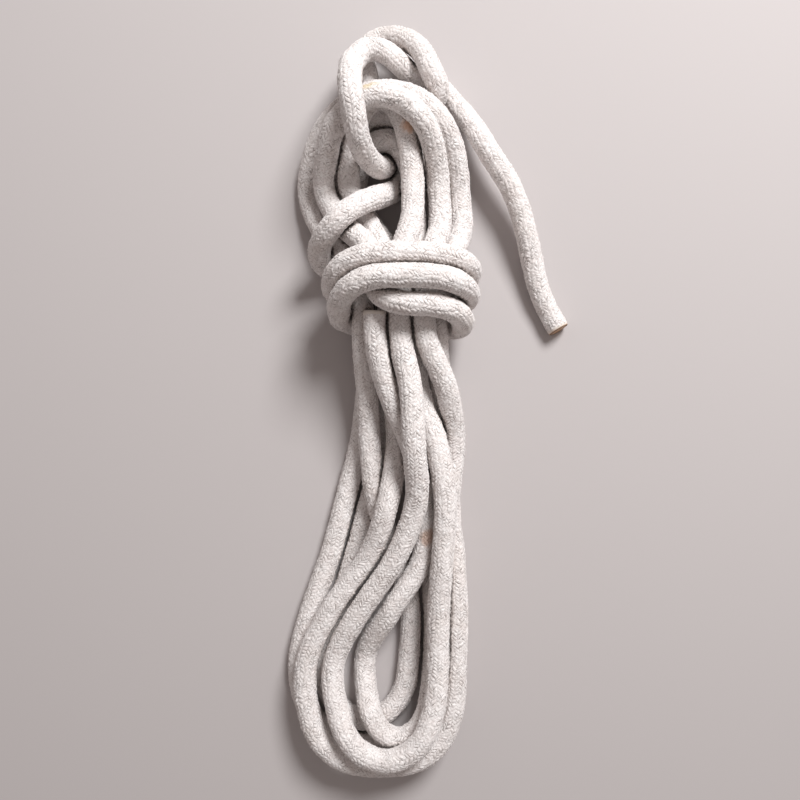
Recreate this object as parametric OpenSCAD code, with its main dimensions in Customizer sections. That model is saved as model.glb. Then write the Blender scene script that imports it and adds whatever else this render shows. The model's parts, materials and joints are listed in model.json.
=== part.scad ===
// A climbing rope tied up in a hank: five turns of rope drawn in at a waist,
// three wraps round the waist, a hitch through the head of the hank and a
// free tail. One length of rope, laid flat on a surface.
// X is the hank's width, Y its length (head at +Y), Z is up from the surface.

/* [Rope] */
// Diameter of the sheath
rope_d = 10; // [9:0.25:10]
// Diameter of the core inside the sheath, seen at the cut end
core_d = 7.2; // [6:0.1:7.6]
// Clearance between the core and the sheath's bore
core_gap = 0.1; // [0.05:0.05:0.2]

/* [Cut ends] */
// Length of the fused seal on each cut end
seal_length = 3; // [2:0.5:6]
// Diameter lost at the seal's worn edge
worn = 1.6; // [0.8:0.2:2.4]

/* [Facets] */
// Sides of the rope's section
rope_sides = 8; // [8:1:12]
// Distance along the rope between two rings of facets
ring_step = 11; // [9:1:16]

/* [Hidden] */

// ---- The runs of the hank, in millimetres ------------------------------
// Each lower leg crosses these stations from the waist to the belly.
leg_y = [28, 5, -20, -45, -70, -95, -120];
// Two rows for a leg: its x at the stations, then its z.
T1 = [[-16.2, -14.5, -13.6, -10.6, -3, 4.6, 4.2], [23.9, 18.5, 14.8, 14.4, 5, 4, 4]];
T2 = [[-10.8, -5.5, 4.9, 11.2, 10.6, -4, -16.5], [33.6, 29, 24.5, 15.2, 15, 14.5, 4]];
T2b = [[-5.4, -3.4, -1.5, -5.4, -14, -31.4, -42.7], [24, 18.5, 14.3, 24, 17.5, 15, 13.8]];
T3 = [[0, 4.5, 6, 7, -2.1, -18.5, -30.2], [33.4, 35.3, 35.5, 27, 22.7, 18.2, 14.5]];
T4 = [[5.4, 8, 16.2, 19.8, 18.5, 17, 16.5], [24.1, 20.2, 24.6, 25.6, 24, 21.5, 21.5]];
T5 = [[10.8, 20.2, 24.2, 21.9, 24, 25.5, 25], [33.6, 26.8, 15.2, 15.2, 14.9, 14.9, 14.9]];
T6 = [[16.2, 18.4, 22.5, 21.8, 25, 26.2, 26], [24, 12, 4, 4, 4, 4, 4]];
S1 = [[-10.8, -15.2, -18.5, -25, -31.5, -40.5, -46.8], [14.7, 6, 4, 4, 4, 4, 4]];
S5 = [[0, -4.5, -7.5, -13.9, -20.5, -28, -36], [14.6, 6, 4, 4, 4, 4, 4]];
S4 = [[10.8, 6.8, 10.3, 11, 14.2, 15.5, 15.3], [14.6, 5, 4, 4, 4, 4, 4]];
// Each upper leg crosses these stations from the waist to the head.
head_y = [62, 78, 95];
La = [[-21.3, -36, -42.6], [20.5, 9, 4]];
Lb = [[-12, -25.9, -34], [33.4, 22.4, 15.4]];
Lc = [[-6.2, -14, -22.8], [24, 18.5, 16.8]];
H1l = [[-13, -24.4, -31.4], [14, 6, 4]];
H2l = [[-1.4, -11.2, -20.5], [14.6, 6, 4]];
R1 = [[0.5, 5, 5.5], [33.4, 28.6, 25.6]];
R2 = [[13.4, 18, 17], [32, 22, 21]];
R3 = [[22, 28.3, 27.5], [20.5, 8, 6]];
H1r = [[12.6, 17.5, 16.5], [14.2, 6, 10]];
H2r = [[6, 6.5, 6], [23.8, 14.5, 14.5]];
// A turn at either end: how far it reaches past the last station, the exponent
// of its outline, where 2 is an ellipse, and its z at 45, 90 and 135 degrees.
turn_T2 = [33, 2.2, 14.6, 14.6, 13];
turn_S1 = [39.5, 2.6, 4, 4, 4];
turn_T1 = [28.5, 2.1, 4, 4, 4];
turn_T4 = [38.5, 2.2, 25, 24, 22];
turn_T2b = [44.5, 2.8, 14.6, 14.6, 14.6];
turn_H1 = [33.2, 2, 15, 15, 10.8];
turn_R3 = [43.6, 2, 20, 16.5, 12];
turn_H2 = [22.1, 2, 11.3, 15.5, 15];
turn_R1 = [36.5, 2.1, 26, 27, 25.5];
turn_R2 = [33.2, 2, 35.8, 38, 34.6];
// A wrap: x and y of its left end, y and z of its front, x and y of its right
// end, y of its back. The wraps stand side by side, the first nearest the belly.
wraps = [
    [-26.5, 33.6, 39.8, 44.8, 27.2, 32.8, 32.5],
    [-26.5, 37, 50.4, 50, 29.3, 44.1, 44],
    [-29.2, 48, 60.4, 44.6, 30.4, 54.7, 55.2],
];
// The hitch: up behind the left of the wraps, over the left legs, under the
// right ones, round the head, back under the top of the hank and over it.
hitch = [
    [-23, 58, 4], [-32, 59.5, 8], [-36, 63.5, 18], [-34.6, 68, 26], [-30.6, 72.5, 32],
    [-26, 77, 35.3], [-21, 81.5, 33.5], [-13.5, 86.5, 28.5], [-7.7, 91.5, 17], [-0.9, 98.6, 5.6],
    [5.1, 108.3, 4], [9.5, 119, 4], [12.5, 126.5, 4], [13.8, 133, 7.5], [17.6, 140.5, 15.2],
    [13.5, 147.5, 18], [11.5, 153.5, 17], [8, 159.5, 14], [2, 165, 10], [-4.5, 167.5, 6],
    [-10.5, 167.5, 4], [-15, 164.5, 4], [-17, 159.5, 4], [-15.5, 153, 4], [-13.5, 144, 4],
    [-11, 134, 4], [-9, 125, 4], [-7.7, 117, 4], [-6.7, 110.6, 5.9], [-7.8, 104.3, 14],
    [-14, 104.5, 28], [-17, 108, 38], [-18.5, 114, 44], [-19.5, 121, 46.6], [-20.5, 129, 46],
    [-20.5, 139, 39], [-20, 150, 22], [-16.5, 157, 15.5], [-11.5, 158.5, 15], [-6, 156.5, 15],
    [-1, 153, 13], [4, 150, 9], [9.5, 147.5, 4.3], [17.4, 145.8, 4],
];
// The free tail: out from under the hitch and down to the surface.
tail = [
    [23.4, 139.7, 4], [29, 131.5, 8], [34.5, 122, 12.5], [42, 109, 14], [48, 100, 14], [54, 88, 12],
    [58, 75, 10], [61, 63.5, 7], [64.5, 51, 5], [68.5, 42, 4], [73, 34, 4],
];

// Where the last run leaves the bundle and rises onto it as the first wrap.
lead_in = [[-10.8, 56, 33.4], [-10.8, 50.5, 34.4], [-8, 43.6, 41.1]];
// y of the bundle's middle under the wraps, and of the end hidden in it
waist_y = 45;
hidden_end_y = 36.5;
// The rope's centre where it lies on the surface: its section is cut flat there
lie_z = 4;
// z of a wrap's ends, and the exponent of its outline
wrap_mid_z = 23.5;
wrap_power = 3;

// ---- Points of the route ------------------------------------------------
function leg(t, ys, up = false) =
    [for (k = [0 : len(ys) - 1]) let (i = up ? len(ys) - 1 - k : k) [t[0][i], ys[i], t[1][i]]];

function power(v, n) = sign(v) * pow(abs(v), 2 / n);

// A half turn from point a to point b, bulging towards side (-1 belly, 1 head)
function turn(a, b, t, side) = [
    for (q = [22.5 : 22.5 : 157.5])
        [(a.x + b.x) / 2 + (a.x - b.x) / 2 * power(cos(q), t[1]),
         a.y + side * t[0] * power(sin(q), t[1]),
         lookup(q, [[0, a.z], [45, t[2]], [90, t[3]], [135, t[4]], [180, b.z]])]];

// One turn of the hank below the waist: down one leg, round, up the other
function belly_turn(down, up, t) = let (a = leg(down, leg_y), b = leg(up, leg_y, true)) concat(
    [[a[0].x, waist_y, a[0].z]], a, turn(a[len(a) - 1], b[0], t, -1), b,
    [[b[len(b) - 1].x, waist_y, b[len(b) - 1].z]]);

function head_turn(up, down, t) = let (a = leg(up, head_y), b = leg(down, head_y, true)) concat(
    a, turn(a[len(a) - 1], b[0], t, 1), b);

hank = concat(
    [[T2[0][0], hidden_end_y, T2[1][0]]],
    [for (p = belly_turn(T2, S4, turn_T2)) if (p.y != waist_y || p.x > 0) p], head_turn(H1r, H1l, turn_H1),
    belly_turn(S1, T6, turn_S1), head_turn(R3, La, turn_R3),
    belly_turn(T1, S5, turn_T1), head_turn(H2l, H2r, turn_H2),
    belly_turn(T4, T3, turn_T4), head_turn(R1, Lc, turn_R1),
    belly_turn(T2b, T5, turn_T2b), head_turn(R2, Lb, turn_R2));

// A wrap over the front, from its left end to its right end and behind it;
// next_y is where the rope comes up again on the left.
function wrap(w, next_y) = let (mid = (w[0] + w[4]) / 2, half = (w[4] - w[0]) / 2) [
    for (k = [0 : 13]) let (q = k < 9 ? 180 - 22.5 * k : 240 - 30 * k) let (s = power(sin(q), wrap_power))
        [mid + half * power(cos(q), wrap_power),
         q >= 90 ? w[1] + (w[2] - w[1]) * sin(q)
            : q >= 0 ? w[5] + (w[2] - w[5]) * sin(q)
            : q > -90 ? w[5] + (w[6] - w[5]) * -q / 90
            : w[6] + (next_y - w[6]) * (-q / 90 - 1),
         s > 0 ? wrap_mid_z + (w[3] - wrap_mid_z) * s
            : max(lie_z, wrap_mid_z + (wrap_mid_z - lie_z + 1) * s)]];

winding = concat(
    [for (i = [0 : 2]) each let (w = wrap(wraps[i], i < 2 ? wraps[i + 1][1] : hitch[0].y))
        [for (k = [0 : len(w) - 1]) if ((i > 0 || k > 3) && (i < 2 || k < 12)) w[k]]]);
route = concat(hank, lead_in, winding, hitch, tail);

// ---- A smooth line through the points ------------------------------------
step_length = [for (i = [0 : len(route) - 2]) norm(route[i + 1] - route[i])];
function chord(i) = (route[i + 1] - route[i]) / step_length[i];
heading = [for (i = [0 : len(route) - 1])
    i == 0 ? chord(0) : i == len(route) - 1 ? chord(i - 1)
    : let (h0 = step_length[i - 1], h1 = step_length[i])
        let (m = (chord(i - 1) * h1 + chord(i) * h0) / (h0 + h1)) route[i].z == lie_z ? [m.x, m.y, 0] : m];
function along(i, t) = let (h = step_length[i])
    route[i] * (2 * pow(t, 3) - 3 * pow(t, 2) + 1) + heading[i] * (h * (pow(t, 3) - 2 * pow(t, 2) + t))
    + route[i + 1] * (3 * pow(t, 2) - 2 * pow(t, 3)) + heading[i + 1] * (h * (pow(t, 3) - pow(t, 2)));
function lifted(p) = [p.x, p.y, max(p.z, lie_z)];

// Centres of the rings of facets from point a of the route to point b
function centres(a, b) = concat(
    [for (i = [a : b - 1]) let (n = max(1, round(step_length[i] / ring_step)))
        for (k = [0 : n - 1]) lifted(along(i, k / n))], [route[b]]);

// ---- The rope -------------------------------------------------------------
function unit(v) = v / norm(v);
// Ways across the rope at each centre, carried along it without twist
function across(c) = let (n = len(c),
    dir = [for (i = [0 : n - 1]) unit(c[min(i + 1, n - 1)] - c[max(i - 1, 0)])]) [
    for (i = 0, u = unit(cross(dir[0], [0.3, 0.2, 1])); i < n;
        i = i + 1, u = i < n ? unit(u - dir[i] * (u * dir[i])) : u) [u, cross(dir[i], u)]];

centre = centres(0, len(route) - 1);
side = across(centre);
function count(a, b) = len(centres(a, b)) - 1;
tail_to = len(centre) - 1;
wraps_from = count(0, len(hank));
hitch_from = wraps_from + count(len(hank), len(hank) + len(lead_in) + len(winding));
tail_from = tail_to - count(len(route) - len(tail) - 1, len(route) - 1);

// One ring of points on the rope's section of diameter d at centre number i
function section(i, d) = [
    for (k = [0 : rope_sides - 1]) let (q = 360 * (k + 0.5) / rope_sides)
        centre[i] + d / 2 * (side[i][0] * cos(q) + side[i][1] * sin(q))];
// The ring at an end of the rope, moved outwards
function moved_out(i, d, by) = let (out = unit(centre[i] - centre[i > 0 ? i - 1 : 1]))
    [for (p = section(i, d)) p + out * by];

// The origin goes under the middle of the whole rope's box
reach = concat([for (i = [0 : tail_to]) each section(i, rope_d)],
    moved_out(tail_to, rope_d - worn, seal_length));
middle = [for (a = [0 : 1]) (min([for (p = reach) p[a]]) + max([for (p = reach) p[a]])) / 2];
function centred(points) = [for (p = points) p - [middle.x, middle.y, 0]];
function ring(i, d) = centred(section(i, d));
function past(i, d, by) = centred(moved_out(i, d, by));

// A closed tube through a list of rings
module skin(rings) {
    n = len(rings[0]);
    last = (len(rings) - 1) * n;
    polyhedron(
        points = [for (r = rings) each r],
        faces = concat(
            [[for (k = [0 : n - 1]) k]], [[for (k = [n - 1 : -1 : 0]) last + k]],
            [for (i = [0 : len(rings) - 2]) for (k = [0 : n - 1])
                each let (a = i * n + k, b = i * n + (k + 1) % n) [[a, a + n, b], [b, a + n, b + n]]]),
        convexity = 10);
}

// What lies below the surface is pressed flat
module on_surface() {
    difference() {
        children();
        translate([-500, -500, -100]) cube([1000, 1000, 100]);
    }
}

module rope(from, to) {
    on_surface() skin([for (i = [from : to]) ring(i, rope_d)]);
}

// The end fused in the cut: a short plug with a worn edge
module seal(i) {
    rings = [ring(i, rope_d), past(i, rope_d, seal_length - 0.6), past(i, rope_d - worn, seal_length)];
    on_surface() skin(i > 0 ? rings : [rings[2], rings[1], rings[0]]);
}

module hank_loops() { color("ivory") rope(0, wraps_from); }
module waist_wraps() { color("linen") rope(wraps_from, hitch_from); }
module head_hitch() { color("antiquewhite") rope(hitch_from, tail_from); }

module tail_sheath() {
    bore = core_d + 2 * core_gap;
    color("floralwhite") difference() {
        rope(tail_from, tail_to);
        // The bore runs out through both faces
        skin(concat(
            [[for (p = ring(tail_from, bore)) p + (centre[tail_from - 1] - centre[tail_from]) / 2]],
            [for (i = [tail_from : tail_to]) ring(i, bore)], [past(tail_to, bore, 1)]));
    }
}

module tail_core() {
    color("white") skin([for (i = [tail_from : tail_to]) ring(i, core_d)]);
}

module tail_seal() { color("peru") seal(tail_to); }
module inner_seal() { color("peru") seal(0); }

hank_loops();
waist_wraps();
head_hitch();
tail_sheath();
tail_core();
tail_seal();
inner_seal();

// ---- The least gap between the rope and itself -----------------------------
fine = 6;
start_at = [for (i = 0, s = 0; i < len(route);
    s = s + (i < len(step_length) ? step_length[i] : 0), i = i + 1) s];
halfway = [for (i = [0 : len(route) - 2]) along(i, 0.5)];
gaps = [for (i = [0 : len(halfway) - 1]) for (j = [i + 1 : len(halfway) - 1])
    if (norm(halfway[i] - halfway[j]) < (step_length[i] + step_length[j]) / 2 + 1.2 * rope_d)
        for (a = [0 : fine - 1]) for (b = [0 : fine - 1])
            if (start_at[j] + b / fine * step_length[j] - start_at[i] - a / fine * step_length[i]
                > 2.4 * rope_d)
                norm(lifted(along(i, a / fine)) - lifted(along(j, b / fine))) - rope_d];
union() {
    echo(rope_length_mm = start_at[len(route) - 1]);
    echo(rings = len(centre), least_gap_mm = min(gaps), middle = middle);
}
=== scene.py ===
# A soft braided rope tied up in a hank: five loops drawn in at a waist, three wraps, a
# hitch through the head and a free tail. The rope's line and its surface are worked out
# in millimetres, and meshes, lights and materials are in metres.
import bpy, json
import numpy as np
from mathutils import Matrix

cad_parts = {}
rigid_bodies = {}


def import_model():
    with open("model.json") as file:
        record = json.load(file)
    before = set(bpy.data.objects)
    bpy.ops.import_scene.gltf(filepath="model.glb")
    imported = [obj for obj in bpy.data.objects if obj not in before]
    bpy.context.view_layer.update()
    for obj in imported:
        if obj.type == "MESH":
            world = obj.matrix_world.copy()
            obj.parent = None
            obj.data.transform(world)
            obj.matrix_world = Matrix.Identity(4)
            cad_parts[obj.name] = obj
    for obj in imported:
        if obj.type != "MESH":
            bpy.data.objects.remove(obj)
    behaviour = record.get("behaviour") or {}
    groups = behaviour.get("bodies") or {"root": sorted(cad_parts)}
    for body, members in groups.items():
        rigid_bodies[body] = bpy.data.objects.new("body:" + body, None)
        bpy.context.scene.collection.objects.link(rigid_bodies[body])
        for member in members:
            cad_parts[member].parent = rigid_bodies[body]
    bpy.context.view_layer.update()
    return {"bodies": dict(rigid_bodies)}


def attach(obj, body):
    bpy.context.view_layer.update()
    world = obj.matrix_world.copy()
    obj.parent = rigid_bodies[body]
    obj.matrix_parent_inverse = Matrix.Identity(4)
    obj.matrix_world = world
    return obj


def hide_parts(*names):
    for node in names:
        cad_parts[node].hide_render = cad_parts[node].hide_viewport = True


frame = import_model()

# ---- The line that the rope follows -----------------------------------------
# The rope is one length, coiled into long loops by hand. Its middle line is a smooth
# curve through points in millimetres: each leg of a loop at its stations along the
# hank, the turns at the belly and the head, then the wraps, the hitch and the tail.
# A leg has a row of x and a row of z; a turn has its reach, the exponent of its outline
# and its z at 45, 90 and 135 degrees; a wrap has the x and y of its left end, the y and
# z of its front, the x and y of its right end and the y of its back.
WAIST_Y = 45
LEG_Y = [28, 5, -20, -45, -70, -95, -120]
LEGS = {
    "T1": [[-16.2, -14.5, -13.6, -10.6, -3, 4.6, 4.2], [23.9, 18.5, 14.8, 14.4, 5, 4, 4]],
    "T2": [[-10.8, -5.5, 4.9, 11.2, 10.6, -4, -16.5], [33.6, 29, 24.5, 15.2, 15, 14.5, 4]],
    "T2b": [[-5.4, -3.4, -1.5, -5.4, -14, -31.4, -42.7], [24, 18.5, 14.3, 24, 17.5, 15, 13.8]],
    "T3": [[0, 4.5, 6, 7, -2.1, -18.5, -30.2], [33.4, 35.3, 35.5, 27, 22.7, 18.2, 14.5]],
    "T4": [[5.4, 8, 16.2, 19.8, 18.5, 17, 16.5], [24.1, 20.2, 24.6, 25.6, 24, 21.5, 21.5]],
    "T5": [[10.8, 20.2, 24.2, 21.9, 24, 25.5, 25], [33.6, 26.8, 15.2, 15.2, 14.9, 14.9, 14.9]],
    "T6": [[16.2, 18.4, 22.5, 21.8, 25, 26.2, 26], [24, 12, 4, 4, 4, 4, 4]],
    "S1": [[-10.8, -15.2, -18.5, -25, -31.5, -40.5, -46.8], [14.7, 6, 4, 4, 4, 4, 4]],
    "S5": [[0, -4.5, -7.5, -13.9, -20.5, -28, -36], [14.6, 6, 4, 4, 4, 4, 4]],
    "S4": [[10.8, 6.8, 10.3, 11, 14.2, 15.5, 15.3], [14.6, 5, 4, 4, 4, 4, 4]],
}
HEAD_Y = [62, 78, 95]
HEADS = {
    "La": [[-21.3, -36, -42.6], [20.5, 9, 4]],
    "Lb": [[-12, -25.9, -34], [33.4, 22.4, 15.4]],
    "Lc": [[-6.2, -14, -22.8], [24, 18.5, 16.8]],
    "H1l": [[-13, -24.4, -31.4], [14, 6, 4]],
    "H2l": [[-1.4, -11.2, -20.5], [14.6, 6, 4]],
    "R1": [[0.5, 5, 5.5], [33.4, 28.6, 25.6]],
    "R2": [[13.4, 18, 17], [32, 22, 21]],
    "R3": [[22, 28.3, 27.5], [20.5, 8, 6]],
    "H1r": [[12.6, 17.5, 16.5], [14.2, 6, 10]],
    "H2r": [[6, 6.5, 6], [23.8, 14.5, 14.5]],
}
TURNS = {
    "T2": [33, 2.2, 14.6, 14.6, 13],
    "S1": [39.5, 2.6, 4, 4, 4],
    "T1": [28.5, 2.1, 4, 4, 4],
    "T4": [38.5, 2.2, 25, 24, 22],
    "T2b": [44.5, 2.8, 14.6, 14.6, 14.6],
    "H1": [33.2, 2, 15, 15, 10.8],
    "R3": [43.6, 2, 20, 16.5, 12],
    "H2": [22.1, 2, 11.3, 15.5, 15],
    "R1": [36.5, 2.1, 26, 27, 25.5],
    "R2": [33.2, 2, 35.8, 38, 34.6],
}
LEAD_IN = [[-10.8, 56, 33.4], [-10.8, 50.5, 34.4], [-8, 43.6, 41.1]]
WRAPS = [
    [-26.5, 33.6, 39.8, 44.8, 27.2, 32.8, 32.5],
    [-26.5, 37, 50.4, 50, 29.3, 44.1, 44],
    [-29.2, 48, 60.4, 44.6, 30.4, 54.7, 55.2],
]
HITCH = [
    [-23, 58, 4], [-32, 59.5, 8], [-36, 63.5, 18], [-34.6, 68, 26], [-30.6, 72.5, 32],
    [-26, 77, 35.3], [-21, 81.5, 33.5], [-13.5, 86.5, 28.5], [-7.7, 91.5, 17], [-0.9, 98.6, 5.6],
    [5.1, 108.3, 4], [9.5, 119, 4], [12.5, 126.5, 4], [13.8, 133, 7.5], [17.6, 140.5, 15.2],
    [13.5, 147.5, 18], [11.5, 153.5, 17], [8, 159.5, 14], [2, 165, 10], [-4.5, 167.5, 6],
    [-10.5, 167.5, 4], [-15, 164.5, 4], [-17, 159.5, 4], [-15.5, 153, 4], [-13.5, 144, 4],
    [-11, 134, 4], [-9, 125, 4], [-7.7, 117, 4], [-6.7, 110.6, 5.9], [-7.8, 104.3, 14],
    [-14, 104.5, 28], [-17, 108, 38], [-18.5, 114, 44], [-19.5, 121, 46.6], [-20.5, 129, 46],
    [-20.5, 139, 39], [-20, 150, 22], [-16.5, 157, 15.5], [-11.5, 158.5, 15], [-6, 156.5, 15],
    [-1, 153, 13], [4, 150, 9], [9.5, 147.5, 4.3], [17.4, 145.8, 4],
]
TAIL = [
    [23.4, 139.7, 4], [29, 131.5, 8], [34.5, 122, 12.5], [42, 109, 14], [48, 100, 14], [54, 88, 12],
    [58, 75, 10], [61, 63.5, 7], [64.5, 51, 5], [68.5, 42, 4], [73, 34, 4],
]
SURFACE_Z = 4.0                              # the rope's middle where it lies on the floor
WRAP_Z, WRAP_POWER = 23.5, 3.0               # the middle height and the exponent of a wrap
PARTS = 24                                   # parts of the line from one point to the next


def leg(name, stations, rows, up=False):
    """The points of one leg, from its first station to its last, or back up."""
    x, z = rows[name]
    p = np.stack([np.array(x, float), np.array(stations, float), np.array(z, float)], axis=1)
    return p[::-1] if up else p


def powered(v, n):
    """The coordinate of a superellipse: the sign of v times |v| to the power 2/n."""
    return np.sign(v) * np.abs(v) ** (2 / n)


def half_turn(a, b, name, side):
    """Half a superellipse from a to b, reaching towards side, with z between set values."""
    reach, n, *z = TURNS[name]
    q = np.arange(22.5, 158, 22.5)
    c, s = np.cos(np.radians(q)), np.sin(np.radians(q))
    return np.stack([(a[0] + b[0]) / 2 + (a[0] - b[0]) / 2 * powered(c, n),
                     a[1] + side * reach * powered(s, n),
                     np.interp(q, [0, 45, 90, 135, 180], [a[2], *z, b[2]])], axis=1)


def belly_turn(down, up, name):
    """Down one leg from the waist, round the belly and up the other leg to the waist."""
    a, b = leg(down, LEG_Y, LEGS), leg(up, LEG_Y, LEGS, True)
    first, last = [[a[0, 0], WAIST_Y, a[0, 2]]], [[b[-1, 0], WAIST_Y, b[-1, 2]]]
    return np.concatenate([first, a, half_turn(a[-1], b[0], name, -1), b, last])


def head_turn(up, down, name):
    """Up one side of the head, round its top and down the other side."""
    a, b = leg(up, HEAD_Y, HEADS), leg(down, HEAD_Y, HEADS, True)
    return np.concatenate([a, half_turn(a[-1], b[0], name, 1), b])


def wrap_points(w, next_y):
    """One wrap: a superellipse over the front and round behind, with y run along it."""
    left_x, left_y, front_y, front_z, right_x, right_y, back_y = w
    q = np.concatenate([180 - 22.5 * np.arange(9), 240 - 30 * np.arange(9, 14)])
    c, s = powered(np.cos(np.radians(q)), WRAP_POWER), powered(np.sin(np.radians(q)), WRAP_POWER)
    sine = np.sin(np.radians(q))
    y = np.where(q >= 90, left_y + (front_y - left_y) * sine,
        np.where(q >= 0, right_y + (front_y - right_y) * sine,
        np.where(q > -90, right_y + (back_y - right_y) * -q / 90,
                 back_y + (next_y - back_y) * (-q / 90 - 1))))
    z = np.where(s > 0, WRAP_Z + (front_z - WRAP_Z) * s,
                 np.maximum(SURFACE_Z, WRAP_Z + (WRAP_Z - SURFACE_Z + 1) * s))
    return np.stack([(left_x + right_x) / 2 + (right_x - left_x) / 2 * c, y, z], axis=1)


first_turn = belly_turn("T2", "S4", "T2")
first_turn[0, 1] = 36.5                      # the hidden end stops short between the wraps
wrap_rows = [wrap_points(w, n) for w, n in zip(WRAPS, [WRAPS[1][1], WRAPS[2][1], HITCH[0][1]])]
stretches = [
    ("loop_1", np.concatenate([first_turn, head_turn("H1r", "H1l", "H1")])),
    ("loop_2", np.concatenate([belly_turn("S1", "T6", "S1"), head_turn("R3", "La", "R3")])),
    ("loop_3", np.concatenate([belly_turn("T1", "S5", "T1"), head_turn("H2l", "H2r", "H2")])),
    ("loop_4", np.concatenate([belly_turn("T4", "T3", "T4"), head_turn("R1", "Lc", "R1")])),
    ("loop_5", np.concatenate([belly_turn("T2b", "T5", "T2b"), head_turn("R2", "Lb", "R2")])),
    ("wraps", np.concatenate([LEAD_IN, wrap_rows[0][4:], wrap_rows[1], wrap_rows[2][:12]])),
    ("hitch", np.array(HITCH, float)),
    ("tail", np.array(TAIL, float)),
]
route = np.concatenate([p for _, p in stretches])
starts = dict(zip([n for n, _ in stretches], np.cumsum([0] + [len(p) for _, p in stretches])))
starts["tail"] -= 1                          # the tail's own skin begins at the hitch's last point


def smooth_line(p, parts):
    """A cubic through the points p whose way at a point is the mean of the two chords,
    each weighed by the other's length; it stays level where a point lies on the surface."""
    h = np.linalg.norm(np.diff(p, axis=0), axis=1)[:, None]
    d = np.diff(p, axis=0) / h
    m = np.concatenate([d[:1], (d[:-1] * h[1:] + d[1:] * h[:-1]) / (h[1:] + h[:-1]), d[-1:]])
    m[1:-1, 2][p[1:-1, 2] == SURFACE_Z] = 0
    t = (np.arange(parts) / parts)[None, :, None]
    p0, p1, m0, m1, h = p[:-1, None], p[1:, None], m[:-1, None], m[1:, None], h[:, None]
    line = (p0 * (2 * t**3 - 3 * t**2 + 1) + m0 * h * (t**3 - 2 * t**2 + t)
            + p1 * (3 * t**2 - 2 * t**3) + m1 * h * (t**3 - t**2)).reshape(-1, 3)
    line = np.concatenate([line, p[-1:]])
    line[:, 2] = np.maximum(line[:, 2], SURFACE_Z)
    return line


MIDDLE = np.array([13.152, 1.40961, 0])      # the middle of the whole rope's box
RING = 0.5                                   # from one ring of the skin to the next
SOFT_RINGS, SOFT_REACH = 6.0, 18             # spread and reach of the soft average, in rings
dense = smooth_line(route, PARTS)
dense_at = np.concatenate([[0], np.cumsum(np.linalg.norm(np.diff(dense, axis=0), axis=1))])
rope_length = dense_at[-1]
ring_at = np.linspace(0, rope_length, int(round(rope_length / RING)) + 1)
line = np.stack([np.interp(ring_at, dense_at, dense[:, k]) for k in range(3)], axis=1) - MIDDLE
# The rope is too stiff for a sharp bend, so a soft average along the line relaxes it. Each
# end is first carried on by its own mirror image, so that it stays where it is.
weight = np.exp(-0.5 * (np.arange(-SOFT_REACH, SOFT_REACH + 1) / SOFT_RINGS) ** 2)
padded = np.concatenate([2 * line[0] - line[SOFT_REACH:0:-1], line,
                         2 * line[-1] - line[-2:-SOFT_REACH - 2:-1]])
line = np.stack([np.convolve(padded[:, k], weight / weight.sum(), "valid") for k in range(3)], axis=1)
way = np.gradient(line, axis=0)
way /= np.linalg.norm(way, axis=1)[:, None]
across = np.empty_like(line)                 # a direction carried along the rope without twist
carried = np.cross(way[0], [0.3, 0.2, 1.0])
for i, d in enumerate(way):
    carried = carried - d * carried.dot(d)
    carried /= np.linalg.norm(carried)
    across[i] = carried
# A rope coiled by hand turns about itself slowly: once in 520 mm, not quite evenly
lay_turn = ring_at / 520 * 2 * np.pi + 0.5 * np.sin(ring_at / 97)
other = np.cross(way, across)
across, other = (across * np.cos(lay_turn)[:, None] + other * np.sin(lay_turn)[:, None],
                 other * np.cos(lay_turn)[:, None] - across * np.sin(lay_turn)[:, None])


def ring_of(name):
    """The number of the ring nearest to the first point of a stretch."""
    at = dense_at[min(starts[name] * PARTS, len(dense_at) - 1)]
    return int(round(at / rope_length * (len(line) - 1)))


first_ring = {name: ring_of(name) for name, _ in stretches}
last_ring = dict(zip(first_ring, list(first_ring.values())[1:] + [len(line) - 1]))

# ---- The camera, straight above the hank ---------------------------------------
camera_data = bpy.data.cameras.new("camera")
camera_data.sensor_width, camera_data.lens = 36.0, 744 / 800 * 36.0     # 744 pixels of 800
camera = bpy.data.objects.new("camera", camera_data)
camera.location = (-MIDDLE[0] / 1000, -MIDDLE[1] / 1000, 0.350)
bpy.context.scene.collection.objects.link(camera)
bpy.context.scene.camera = camera

# ---- The loops of the hank --------------------------------------------------------
# Long loops of the rope, drawn in at the waist. The rope is a soft sheath of off-white
# cotton-like yarn, braided by sixteen carriers two over two, on a core of parallel
# yarns. Its floats stand in columns that lean left and right in turn.
ROPE_R = 5.0
COLUMNS, FLOAT, LEAN = 16, 1.7, 0.85         # columns round the rope; a float's length; its lean
AROUND = 64                                  # faces round the skin
LOWEST = 0.15                                # where the skin and the fused ends stop above the floor


def hashed(i, j):
    """A fixed number from 0 to 1 for each pair of whole numbers."""
    return np.modf(np.abs(np.sin(i * 127.1 + j * 311.7) * 43758.5453))[0]


def value_noise(x, y, period):
    """Smooth noise from 0 to 1 on a lattice that repeats after period cells in x."""
    i, j = np.floor(x), np.floor(y)
    fx, fy = x - i, y - j
    fx, fy = fx * fx * (3 - 2 * fx), fy * fy * (3 - 2 * fy)
    a, b = np.mod(i, period), np.mod(i + 1, period)
    return ((hashed(a, j) * (1 - fx) + hashed(b, j) * fx) * (1 - fy)
            + (hashed(a, j + 1) * (1 - fx) + hashed(b, j + 1) * fx) * fy)


def braid_place(turn, at):
    """Column and length along the rope of a point of the braid, pulled about a little
    by smooth noise, as the yarn of a worn rope is. turn runs from 0 to 1 round it."""
    u, v = turn * COLUMNS, at
    u = u + 1.1 * (value_noise(turn * 8, v / 4.0, 8) - 0.5)
    v = v + 2.0 * (value_noise(turn * 8 + 3, v / 3.5 + 71, 8) - 0.5)
    return u, v


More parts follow.
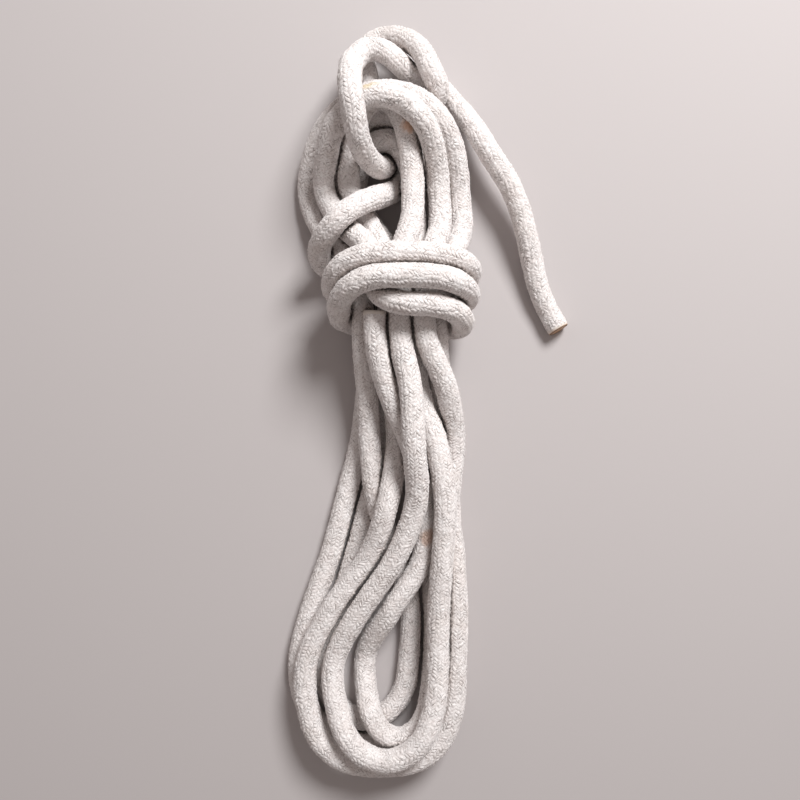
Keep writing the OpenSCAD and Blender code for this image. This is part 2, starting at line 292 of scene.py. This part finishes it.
def braid_height(u, v):
    """Height of the floats, from 0 in the gaps to 1 on their backs: a round back
    across the column times a round back along the leaning float."""
    column = np.floor(u)
    a = u - column - 0.5
    odd = np.mod(column, 2)
    t = v / FLOAT + (1 - 2 * odd) * LEAN * a + 0.5 * odd
    f = t - np.floor(t) - 0.5
    plump = 0.75 + 0.5 * hashed(np.mod(column, COLUMNS), np.floor(t))
    plump = plump * (0.55 + 0.45 * np.clip(value_noise(u / COLUMNS * 7, v / 5.0, 7) * 2.4 - 0.8, 0, 1))
    return np.sqrt(np.clip(1 - (2 * a) ** 2 * 0.9, 0, 1)) * (1 - (2 * np.abs(f)) ** 2.4) * plump


# The rings of other strands nearest to each ring, for the flats where strands press on
# each other. They are found for a block of rings at a time, which saves memory.
APART, NEIGHBOURS = 22, 14                   # how far off another strand begins; how many rings
sampled = np.arange(0, len(line), 5)
near = np.empty((len(line), NEIGHBOURS), int)
for block in (slice(a, a + 600) for a in range(0, len(line), 600)):
    gap = np.linalg.norm(line[block, None] - line[None, sampled], axis=2)
    gap[np.abs(ring_at[block, None] - ring_at[None, sampled]) < APART] = 1e3
    near[block] = sampled[np.argpartition(gap, NEIGHBOURS, axis=1)[:, :NEIGHBOURS]]


def skin_points(i, turn):
    """Points of the rope's surface at rings i and turns round the section. The radius is
    the rope's with a slow unevenness, kept just short of the middle plane between it and
    any strand that it touches, plus the braid's floats and the wool, which are lower where
    it is pressed. It levels off above the floor. Also gives the surface's directions, the
    place in the braid, and how deep the point lies in a crevice, from 0 to 1."""
    q = 2 * np.pi * turn
    n = across[i] * np.cos(q)[..., None] + other[i] * np.sin(q)[..., None]
    u, v = braid_place(turn, ring_at[i])
    uneven = value_noise(turn * 4, ring_at[i] / 23, 4) - 0.5
    r = ROPE_R - 0.08 + 0.3 * uneven
    w = line[near[i]] - line[i][..., None, :]             # to the other strands
    toward = np.maximum((w * n[..., None, :]).sum(-1), 1e-6)
    limit = ((w * w).sum(-1) / (2 * toward)).min(-1) - 0.2
    pressed = np.minimum(r, limit)
    crevice = np.clip((r * 1.45 - limit) / (r * 0.45), 0, 1)
    wool = value_noise(turn * 24, ring_at[i] / 1.3, 24) - 0.5
    r = pressed + ((0.46 * (braid_height(u, v) - 0.30) + 0.30 * wool)
                   * (0.35 + 0.65 * np.clip((limit - pressed) / 0.5, 0, 1)))
    p = line[i] + n * r[..., None]
    soft = 0.6
    p[..., 2] = np.where(p[..., 2] > LOWEST + soft, p[..., 2],
                         LOWEST + soft * np.exp((p[..., 2] - LOWEST - soft) / soft))
    return p, n, u, v, crevice


def mesh_piece(name, points, quads, uv=None, values=None):
    """A smooth mesh object from points in millimetres and an array of faces, with a place
    in the braid for each corner of a face and named values for each point."""
    mesh = bpy.data.meshes.new(name)
    mesh.vertices.add(len(points))
    mesh.vertices.foreach_set("co", (points / 1000).ravel())
    mesh.loops.add(quads.size)
    mesh.loops.foreach_set("vertex_index", quads.ravel())
    mesh.polygons.add(len(quads))
    mesh.polygons.foreach_set("loop_start", np.arange(len(quads)) * quads.shape[1])
    mesh.update(calc_edges=True)
    if uv is not None:
        mesh.uv_layers.new(name="braid").data.foreach_set("uv", uv.astype(float).ravel())
    for key, value in (values or {}).items():
        mesh.attributes.new(key, "FLOAT", "POINT").data.foreach_set("value", value.astype(float))
    mesh.polygons.foreach_set("use_smooth", [True] * len(quads))
    mesh.validate()
    piece = bpy.data.objects.new(name, mesh)
    bpy.context.scene.collection.objects.link(piece)
    return piece


def grid_faces(rows, columns):
    """Quads of a tube of rows of points, each closed round after its last column."""
    i, k = np.meshgrid(np.arange(rows - 1), np.arange(columns), indexing="ij")
    a, b = i * columns + k, i * columns + (k + 1) % columns
    return np.stack([a, b, b + columns, a + columns], axis=-1).reshape(-1, 4)


def end_cap(first_point, middle_point, columns, outwards):
    """Quads that close a tube's end on its middle point; outwards turns them over."""
    k = np.arange(0, columns, 2)
    q = np.stack([first_point + k, first_point + (k + 1) % columns,
                  first_point + (k + 2) % columns, np.full_like(k, middle_point)], axis=1)
    return q if outwards else q[:, ::-1]


def braided_stretch(name, a, b):
    """The braided skin of the rope from ring a to ring b, closed at both ends. The last
    face round each ring reads one whole turn more of the braid, not a jump back to 0."""
    i, k = np.meshgrid(np.arange(a, b + 1), np.arange(AROUND), indexing="ij")
    p, _, u, v, crevice = skin_points(i, k / AROUND)
    rows = b - a + 1
    quads = grid_faces(rows, AROUND)
    points = np.concatenate([p.reshape(-1, 3), line[[a, b]]])
    u, v = np.append(u.ravel(), [0, 0]), np.append(v.ravel(), [ring_at[a], ring_at[b]])
    whole_turn = np.zeros(quads.shape)
    whole_turn[AROUND - 1::AROUND] = [0, COLUMNS, COLUMNS, 0]
    caps = np.concatenate([end_cap(0, rows * AROUND, AROUND, False),
                           end_cap((rows - 1) * AROUND, rows * AROUND + 1, AROUND, True)])
    quads = np.concatenate([quads, caps])
    uv = np.stack([u[quads], v[quads]], axis=-1)
    uv[:len(whole_turn), :, 0] += whole_turn
    return mesh_piece(name, points, quads, uv, {"crevice": np.append(crevice.ravel(), [1, 1])})


FUZZ_PER_MM = 12                             # loose fibres on each millimetre of the rope


def fuzz(name, a, b, seed):
    """Loose fibres on the braid: thin curved slips of two faces that leave the yarn's
    backs at a low angle. Their places and lengths are drawn from a seeded generator."""
    rng = np.random.default_rng(seed)
    m = int((ring_at[b] - ring_at[a]) * FUZZ_PER_MM)
    i = rng.integers(a, b, m)
    turn = rng.random(m)
    p, n, u, v, crevice = skin_points(i, turn)
    keep = (crevice < 0.5) & (p[:, 2] > 1.0)
    p, n, u, v, i = p[keep], n[keep], u[keep], v[keep], i[keep]
    m = len(p)
    side = np.cross(way[i], n)
    q = rng.uniform(-1.1, 1.1, m) + np.where(rng.random(m) < 0.5, 0, np.pi)
    along = way[i] * np.cos(q)[:, None] + side * np.sin(q)[:, None]
    thin = np.cross(along, n)
    long, rise = rng.uniform(0.6, 1.7, m)[:, None], rng.uniform(0.05, 0.62, m)[:, None]
    wide = rng.uniform(0.035, 0.06, m)[:, None]
    bent = thin * rng.uniform(-0.35, 0.35, m)[:, None]
    root = p - n * 0.08
    half = p + (along + bent) * long * 0.5 + n * rise * 0.8
    tip = p + (along - bent) * long + n * rise * rng.uniform(0.5, 1.3, m)[:, None]
    points = np.stack([root - thin * wide, root + thin * wide, half - thin * wide, half + thin * wide,
                       tip - thin * wide * 0.4, tip + thin * wide * 0.4], axis=1)
    points[..., 2] = np.maximum(points[..., 2], 0.1)
    quads = (np.arange(m) * 6)[:, None, None] + np.array([[0, 1, 3, 2], [2, 3, 5, 4]])
    uv = np.repeat(np.stack([u, v], axis=1), 8, axis=0)
    return mesh_piece(name, points.reshape(-1, 3), quads.reshape(-1, 4), uv, {"crevice": np.zeros(m * 6)})


class Nodes:
    """Places shader nodes in a tree, each from its kind, its inputs and its settings."""

    def __init__(self, tree):
        self.tree = tree

    def feed(self, node, inputs):
        """Links each input of a node to the socket given for it, or sets its value."""
        for key, value in inputs.items():
            if isinstance(value, bpy.types.NodeSocket):
                self.tree.links.new(value, node.inputs[key])
            else:
                node.inputs[key].default_value = value

    def add(self, kind, inputs=(), out=0, **settings):
        """A new node of that kind; gives the socket with the number out."""
        node = self.tree.nodes.new("ShaderNode" + kind)
        for key, value in settings.items():
            setattr(node, key, value)
        self.feed(node, dict(inputs))
        return node.outputs[out]

    def math(self, operation, *values):
        return self.add("Math", dict(enumerate(values)), operation=operation)

    def times(self, a, b):
        return self.math("MULTIPLY", a, b)

    def mix(self, factor, a, b):
        return self.add("Mix", {0: factor, 6: a, 7: b}, out=2, data_type="RGBA")

    def range(self, value, low, high, to_low=0.0, to_high=1.0):
        """Value eased from low and high to to_low and to_high, and held beyond them."""
        return self.add("MapRange", {0: value, 1: low, 2: high, 3: to_low, 4: to_high},
                        interpolation_type="SMOOTHSTEP")

    def noise(self, vector, scale, detail=2.0, rough=0.5):
        return self.add("TexNoise", {"Vector": vector, "Scale": scale, "Detail": detail,
                                     "Roughness": rough})


def new_material(name):
    """A material, the Nodes of its tree, its shader and its Object coordinates."""
    material = bpy.data.materials.new(name)
    material.use_nodes = True
    n = Nodes(material.node_tree)
    return material, n, material.node_tree.nodes["Principled BSDF"], n.add("TexCoord", out=3)


def braid_group():
    """The yarn of the braid, from the column and the length along the rope: a height
    with the fine plies of each float, a mask of the gaps between floats, which the cotton
    darkens as painted shade, and a random tone for each float by itself. The floats lie as braid_height
    lays them."""
    group = bpy.data.node_groups.new("braided yarn", "ShaderNodeTree")
    group.interface.new_socket("Place", in_out="INPUT", socket_type="NodeSocketVector")
    for key in ("Height", "Gap", "Shade"):
        group.interface.new_socket(key, in_out="OUTPUT", socket_type="NodeSocketFloat")
    n = Nodes(group)
    apart = group.nodes.new("ShaderNodeSeparateXYZ")
    n.feed(apart, {0: group.nodes.new("NodeGroupInput").outputs["Place"]})
    u, v = apart.outputs[0], apart.outputs[1]
    column = n.math("FLOOR", u)
    a = n.math("SUBTRACT", n.math("FRACT", u), 0.5)
    odd = n.math("FLOORED_MODULO", column, 2.0)
    lean = n.times(n.math("SUBTRACT", 1.0, n.times(odd, 2.0)), LEAN)
    t = n.math("ADD", n.math("MULTIPLY_ADD", lean, a, n.math("DIVIDE", v, FLOAT)), n.times(odd, 0.5))
    f = n.math("SUBTRACT", n.math("FRACT", t), 0.5)
    edge_f = n.times(n.math("ABSOLUTE", f), 2.0)
    edge_a = n.times(n.math("ABSOLUTE", a), 2.0)
    back = n.times(n.math("SUBTRACT", 1.0, n.math("POWER", edge_f, 2.6)),
                   n.math("SUBTRACT", 1.0, n.math("POWER", edge_a, 3.0)))
    plies = n.math("SINE", n.times(f, 19.0))
    height = n.math("MULTIPLY_ADD", plies, 0.13, back)
    carrier = n.math("FLOORED_MODULO", column, float(COLUMNS))
    place = n.add("CombineXYZ", {0: carrier, 1: n.math("FLOOR", t), 2: 0.5})
    shade = n.add("TexWhiteNoise", {"Vector": place}, noise_dimensions="3D")
    gap = n.math("MAXIMUM", n.range(edge_f, 0.68, 0.97), n.times(n.range(edge_a, 0.80, 1.0), 0.55))
    n.feed(group.nodes.new("NodeGroupOutput"), {"Height": height, "Gap": gap, "Shade": shade})
    return group


braided_yarn = braid_group()


STAINS = [                                   # place and radius in metres, colour, strength
    ((-0.0265, 0.1310, 0.0405), 0.0050, (0.66, 0.52, 0.26, 1), 0.55),
    ((-0.0095, 0.1165, 0.0310), 0.0042, (0.70, 0.38, 0.20, 1), 0.60),
    ((-0.0009, -0.0625, 0.0196), 0.0050, (0.52, 0.30, 0.19, 1), 0.60),
]


def spot(n, place, at, radius):
    """A soft round mask about a point in metres, with a ragged edge."""
    off = n.add("VectorMath", {0: place, 1: at}, out=1, operation="DISTANCE")
    ragged = n.math("MULTIPLY_ADD", n.noise(place, 260.0, 3.0), 0.006, off)
    return n.range(ragged, radius + 0.003, radius * 0.35 + 0.003)


def cotton_braid(name, fuzzy):
    """Off-white cotton-like yarn: pale backs, painted shade darkening the gaps between
    the floats, painted warm shade and a near-black painted shadow deep between pressed strands, a few
    yellow and orange stains, soft sheen. The loose fibres take the fuzzy kind, which has faint painted
    gap shade and no bump."""
    material, n, shader, place = new_material(name)
    braid = material.node_tree.nodes.new("ShaderNodeGroup")
    braid.node_tree = braided_yarn
    n.feed(braid, {"Place": n.add("UVMap", uv_map="braid")})
    # The crevice depth from the skin, made ragged by noise, masks painted shade between strands that
    # press on each other.
    ragged = n.times(n.math("SUBTRACT", n.noise(place, 700.0, 2.0), 0.5), 0.55)
    crevice = n.math("ADD", n.add("Attribute", out=2, attribute_name="crevice"), ragged)
    fibre = n.noise(place, 1300.0, 3.0, 0.65)
    patch = n.range(n.noise(place, 210.0, 3.0, 0.6), 0.30, 0.72)
    broad = n.range(n.noise(place, 38.0, 3.0, 0.55), 0.52, 0.70)
    shows = n.range(n.noise(place, 250.0, 2.0), 0.44, 0.62, 0.35, 1.0)
    bright = n.range(braid.outputs["Shade"], 0.45, 1.0)
    colour = n.mix(patch, (0.835, 0.782, 0.765, 1), (0.915, 0.880, 0.870, 1))
    colour = n.mix(n.times(broad, 0.30), colour, (0.780, 0.700, 0.655, 1))
    colour = n.mix(n.times(bright, 0.30), colour, (0.930, 0.905, 0.890, 1))
    # Painted shade: the gaps between the floats are darkened towards near-black, broken up by noise,
    # where shade falls between the yarns.
    broken = n.range(n.noise(place, 620.0, 2.0), 0.40, 0.60, 0.15, 0.95)
    gap_shade = n.times(braid.outputs["Gap"], n.times(shows, broken))
    if fuzzy:
        gap_shade = n.times(gap_shade, 0.15)
    colour = n.mix(gap_shade, colour, (0.180, 0.140, 0.120, 1))
    specks = n.range(n.noise(place, 1250.0, 2.0, 0.7), 0.52, 0.64)
    colour = n.mix(n.times(specks, 0.44), colour, (0.400, 0.335, 0.305, 1))
    # Painted shade: a warm brown tone where strands lie close, and a near-black painted shadow along the
    # lines where they touch.
    colour = n.mix(n.times(n.range(crevice, 0.15, 0.80), 0.28), colour, (0.480, 0.365, 0.300, 1))
    colour = n.mix(n.times(n.range(crevice, 0.52, 0.90), 0.94), colour, (0.050, 0.036, 0.030, 1))
    for at, radius, tint, strength in STAINS:
        colour = n.mix(n.times(spot(n, place, at, radius), strength), colour, tint)
    if not fuzzy:
        height = n.math("MULTIPLY_ADD", fibre, 1.3, n.times(braid.outputs["Height"], shows))
        bump = n.add("Bump", {"Strength": 0.70, "Distance": 0.00036, "Height": height})
        n.feed(shader, {"Normal": bump})
    n.feed(shader, {"Base Color": colour, "Roughness": n.range(fibre, 0.2, 0.8, 0.96, 0.84),
                    "Specular IOR Level": 0.15, "Sheen Weight": 0.25, "Sheen Roughness": 0.5})
    return material


cotton = cotton_braid("cotton braid", False)
loose_cotton = cotton_braid("loose cotton fibres", True)
root = list(frame["bodies"])[0]


def dress(name, node):
    a, b = first_ring[name], last_ring[name]
    piece = braided_stretch(name + "_braid", a, b)
    piece.data.materials.append(cotton)
    down = fuzz(name + "_fibres", a, b, 11 + a)
    down.data.materials.append(loose_cotton)
    for o in (piece, down):
        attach(o, root)
    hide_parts(node)


for name in ("loop_1", "loop_2", "loop_3", "loop_4", "loop_5"):
    dress(name, "hank_loops")

# ---- The wraps round the waist -----------------------------------------------------
# The last loop's rope comes up over the waist and goes three times round it, each wrap
# beside the one before, and holds the loops together.
dress("wraps", "waist_wraps")

# ---- The hitch through the head ------------------------------------------------------
# From behind the wraps the rope passes through the head of the loops, makes a bight
# beyond it and comes back over it, which locks the wraps.
dress("hitch", "head_hitch")

# ---- The fused ends of the rope -----------------------------------------------------
# A hot cut fuses sheath and core into a short plug, so that the end doesn't fray: cream
# where the braid melted smooth, tan on the face, with a thin brown line at its edge.
# One closes the free tail; the other is hidden between the wraps.
SEAL = [                                     # length, radius and how browned the plug is there
    (-0.8, 4.60, 0), (-0.4, 4.98, 0), (0.1, 5.06, 0), (0.6, 5.00, 0),
    (1.1, 4.90, 0.25), (1.5, 4.80, 0.85), (1.70, 4.66, 1), (1.75, 4.40, 1),
    (1.70, 3.6, 0.72), (1.62, 2.8, 0.62), (1.66, 1.9, 0.62), (1.62, 0.9, 0.62),
]
SEAL_TILT = 0.75                             # how far the cut leans back at its upper edge


def fused_end(name, ring, outward, browned):
    """A plug turned round the rope's end: a profile of length and radius, with a wavering
    rim, a lumpy face and a slanted cut. browned says how much of the tan and brown of a
    hot cut it has, from 0 to 1."""
    long, wide, scorch = np.array(SEAL).T
    rows, columns = len(SEAL), 48
    j, k = np.meshgrid(np.arange(rows), np.arange(columns), indexing="ij")
    q = 2 * np.pi * k / columns
    lumps = value_noise(k / columns * 9, j * 0.55 + 3.0, 9) - 0.5
    r = wide[j] * (1 + 0.030 * lumps)
    out = way[ring] * outward
    side = np.cross(out, across[ring])
    up = across[ring][2] * np.cos(q) + side[2] * np.sin(q)
    slant = SEAL_TILT * up * np.clip(long[j] / 1.8, 0, 1) * wide[j] / 5
    reach = long[j] + 0.25 * lumps * (j > 5) - slant
    p = (line[ring] + out * reach[..., None]
         + (across[ring] * np.cos(q)[..., None] + side * np.sin(q)[..., None]) * r[..., None])
    p[..., 2] = np.maximum(p[..., 2], LOWEST)
    points = np.concatenate([p.reshape(-1, 3), [line[ring] - out * 0.8, line[ring] + out * 1.6]])
    quads = np.concatenate([grid_faces(rows, columns), end_cap(0, rows * columns, columns, False),
                            end_cap((rows - 1) * columns, rows * columns + 1, columns, True)])
    scorched = np.append(scorch[j].ravel(), [0, scorch[-1]]) * browned
    piece = mesh_piece(name, points, quads, None, {"scorch": scorched})
    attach(piece, root)
    return piece


def fused_yarn():
    """Cream yarn melted together, peach on the cut face and brown along its edge."""
    material, n, shader, place = new_material("fused yarn")
    scorch = n.add("Attribute", out=2, attribute_name="scorch")
    grain = n.noise(place, 900.0, 4.0, 0.6)
    cream = n.mix(grain, (0.70, 0.62, 0.55, 1), (0.86, 0.81, 0.76, 1))
    peach = n.mix(grain, (0.44, 0.25, 0.14, 1), (0.74, 0.50, 0.33, 1))
    burnt = n.times(n.range(scorch, 0.66, 0.95), n.range(grain, 0.25, 0.60, 0.45, 1.0))
    colour = n.mix(n.range(scorch, 0.05, 0.60), cream, peach)
    n.feed(shader, {"Base Color": n.mix(burnt, colour, (0.130, 0.070, 0.040, 1)),
                    "Roughness": n.range(grain, 0.2, 0.8, 0.75, 0.45),
                    "Normal": n.add("Bump", {"Strength": 0.5, "Distance": 0.0003, "Height": grain})})
    return material


fused = fused_yarn()
tail_end = fused_end("tail_fused_end", len(line) - 1, 1, 1.0)
hidden_plug = fused_end("hidden_fused_end", 0, -1, 0.08)
for piece, node in ((tail_end, "tail_seal"), (hidden_plug, "inner_seal")):
    piece.data.materials.append(fused)
    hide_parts(node)

# ---- The free tail ---------------------------------------------------------------------
# The end of the rope runs out from under the hitch and down to the surface. Inside its
# sheath lies the core: seven strands of white yarn, six laid round one.
STRAND_R, STRAND_OFF, STRAND_LAY = 1.18, 2.35, 42      # radius, way from the middle, length of a turn


def core_strands(name, a, b):
    """Seven round strands inside the sheath, the outer six carried round the middle one:
    circles about a line that goes round the rope's own line once in a turn's length."""
    i = np.arange(a, b + 1, 2)
    rows, columns = len(i), 10
    q = 2 * np.pi * np.arange(columns) / columns
    circle = (across[i][:, None] * np.cos(q)[None, :, None]
              + other[i][:, None] * np.sin(q)[None, :, None])
    quads = np.concatenate([grid_faces(rows, columns), end_cap(0, rows * columns, columns, False),
                            end_cap((rows - 1) * columns, rows * columns + 1, columns, True)])
    points = []
    for strand in range(7):
        lay = 2 * np.pi * (ring_at[i] / STRAND_LAY + strand / 6)
        off = 0.0 if strand == 6 else STRAND_OFF
        middle = line[i] + off * (across[i] * np.cos(lay)[:, None] + other[i] * np.sin(lay)[:, None])
        points += [(middle[:, None] + STRAND_R * circle).reshape(-1, 3), middle[[0, -1]]]
    strand_points = rows * columns + 2
    return mesh_piece(name, np.concatenate(points),
                      np.concatenate([quads + strand * strand_points for strand in range(7)]))


def core_yarn():
    """White filament yarn: fine fibres along the strand, a little shine."""
    material, n, shader, place = new_material("core yarn")
    stretched = n.add("Mapping", {"Vector": place, "Scale": (2600.0, 420.0, 2600.0)})
    fibre = n.noise(stretched, 1.0, 3.0, 0.6)
    n.feed(shader, {"Base Color": n.mix(fibre, (0.74, 0.70, 0.65, 1), (0.92, 0.90, 0.87, 1)),
                    "Roughness": n.range(fibre, 0.2, 0.8, 0.70, 0.50),
                    "Normal": n.add("Bump", {"Strength": 0.4, "Distance": 0.0002, "Height": fibre})})
    return material


core = core_strands("tail_core_strands", first_ring["tail"], last_ring["tail"])
core.data.materials.append(core_yarn())
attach(core, root)
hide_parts("tail_core")
dress("tail", "tail_sheath")

# ---- The floor and the light ---------------------------------------------------------------
# A plain pale floor, one soft lamp above the head's right side that faces the hank, and
# an even pale sky.
floor_mesh = bpy.data.meshes.new("floor")
floor_mesh.from_pydata([(-3, -3, 0), (3, -3, 0), (3, 3, 0), (-3, 3, 0)], [], [(0, 1, 2, 3)])
floor = bpy.data.objects.new("floor", floor_mesh)
bpy.context.scene.collection.objects.link(floor)
floor_paint = bpy.data.materials.new("pale floor")
floor_paint.use_nodes = True
Nodes(floor_paint.node_tree).feed(floor_paint.node_tree.nodes["Principled BSDF"], {
    "Base Color": (0.530, 0.496, 0.493, 1), "Roughness": 0.95, "Specular IOR Level": 0.1})
floor_mesh.materials.append(floor_paint)

lamp_data = bpy.data.lights.new("soft lamp", "AREA")
lamp_data.shape, lamp_data.size, lamp_data.energy = "DISK", 0.42, 15.4
lamp = bpy.data.objects.new("soft lamp", lamp_data)
lamp.location = (0.38, 0.71, 0.80)
lamp.rotation_euler = (-lamp.location).to_track_quat("-Z", "Y").to_euler()
bpy.context.scene.collection.objects.link(lamp)
world = bpy.data.worlds.new("pale sky")
world.use_nodes = True
Nodes(world.node_tree).feed(world.node_tree.nodes["Background"], {
    "Color": (1.0, 0.890, 0.850, 1), "Strength": 0.30})
bpy.context.scene.world = world
bpy.context.scene.view_settings.view_transform = "Standard"
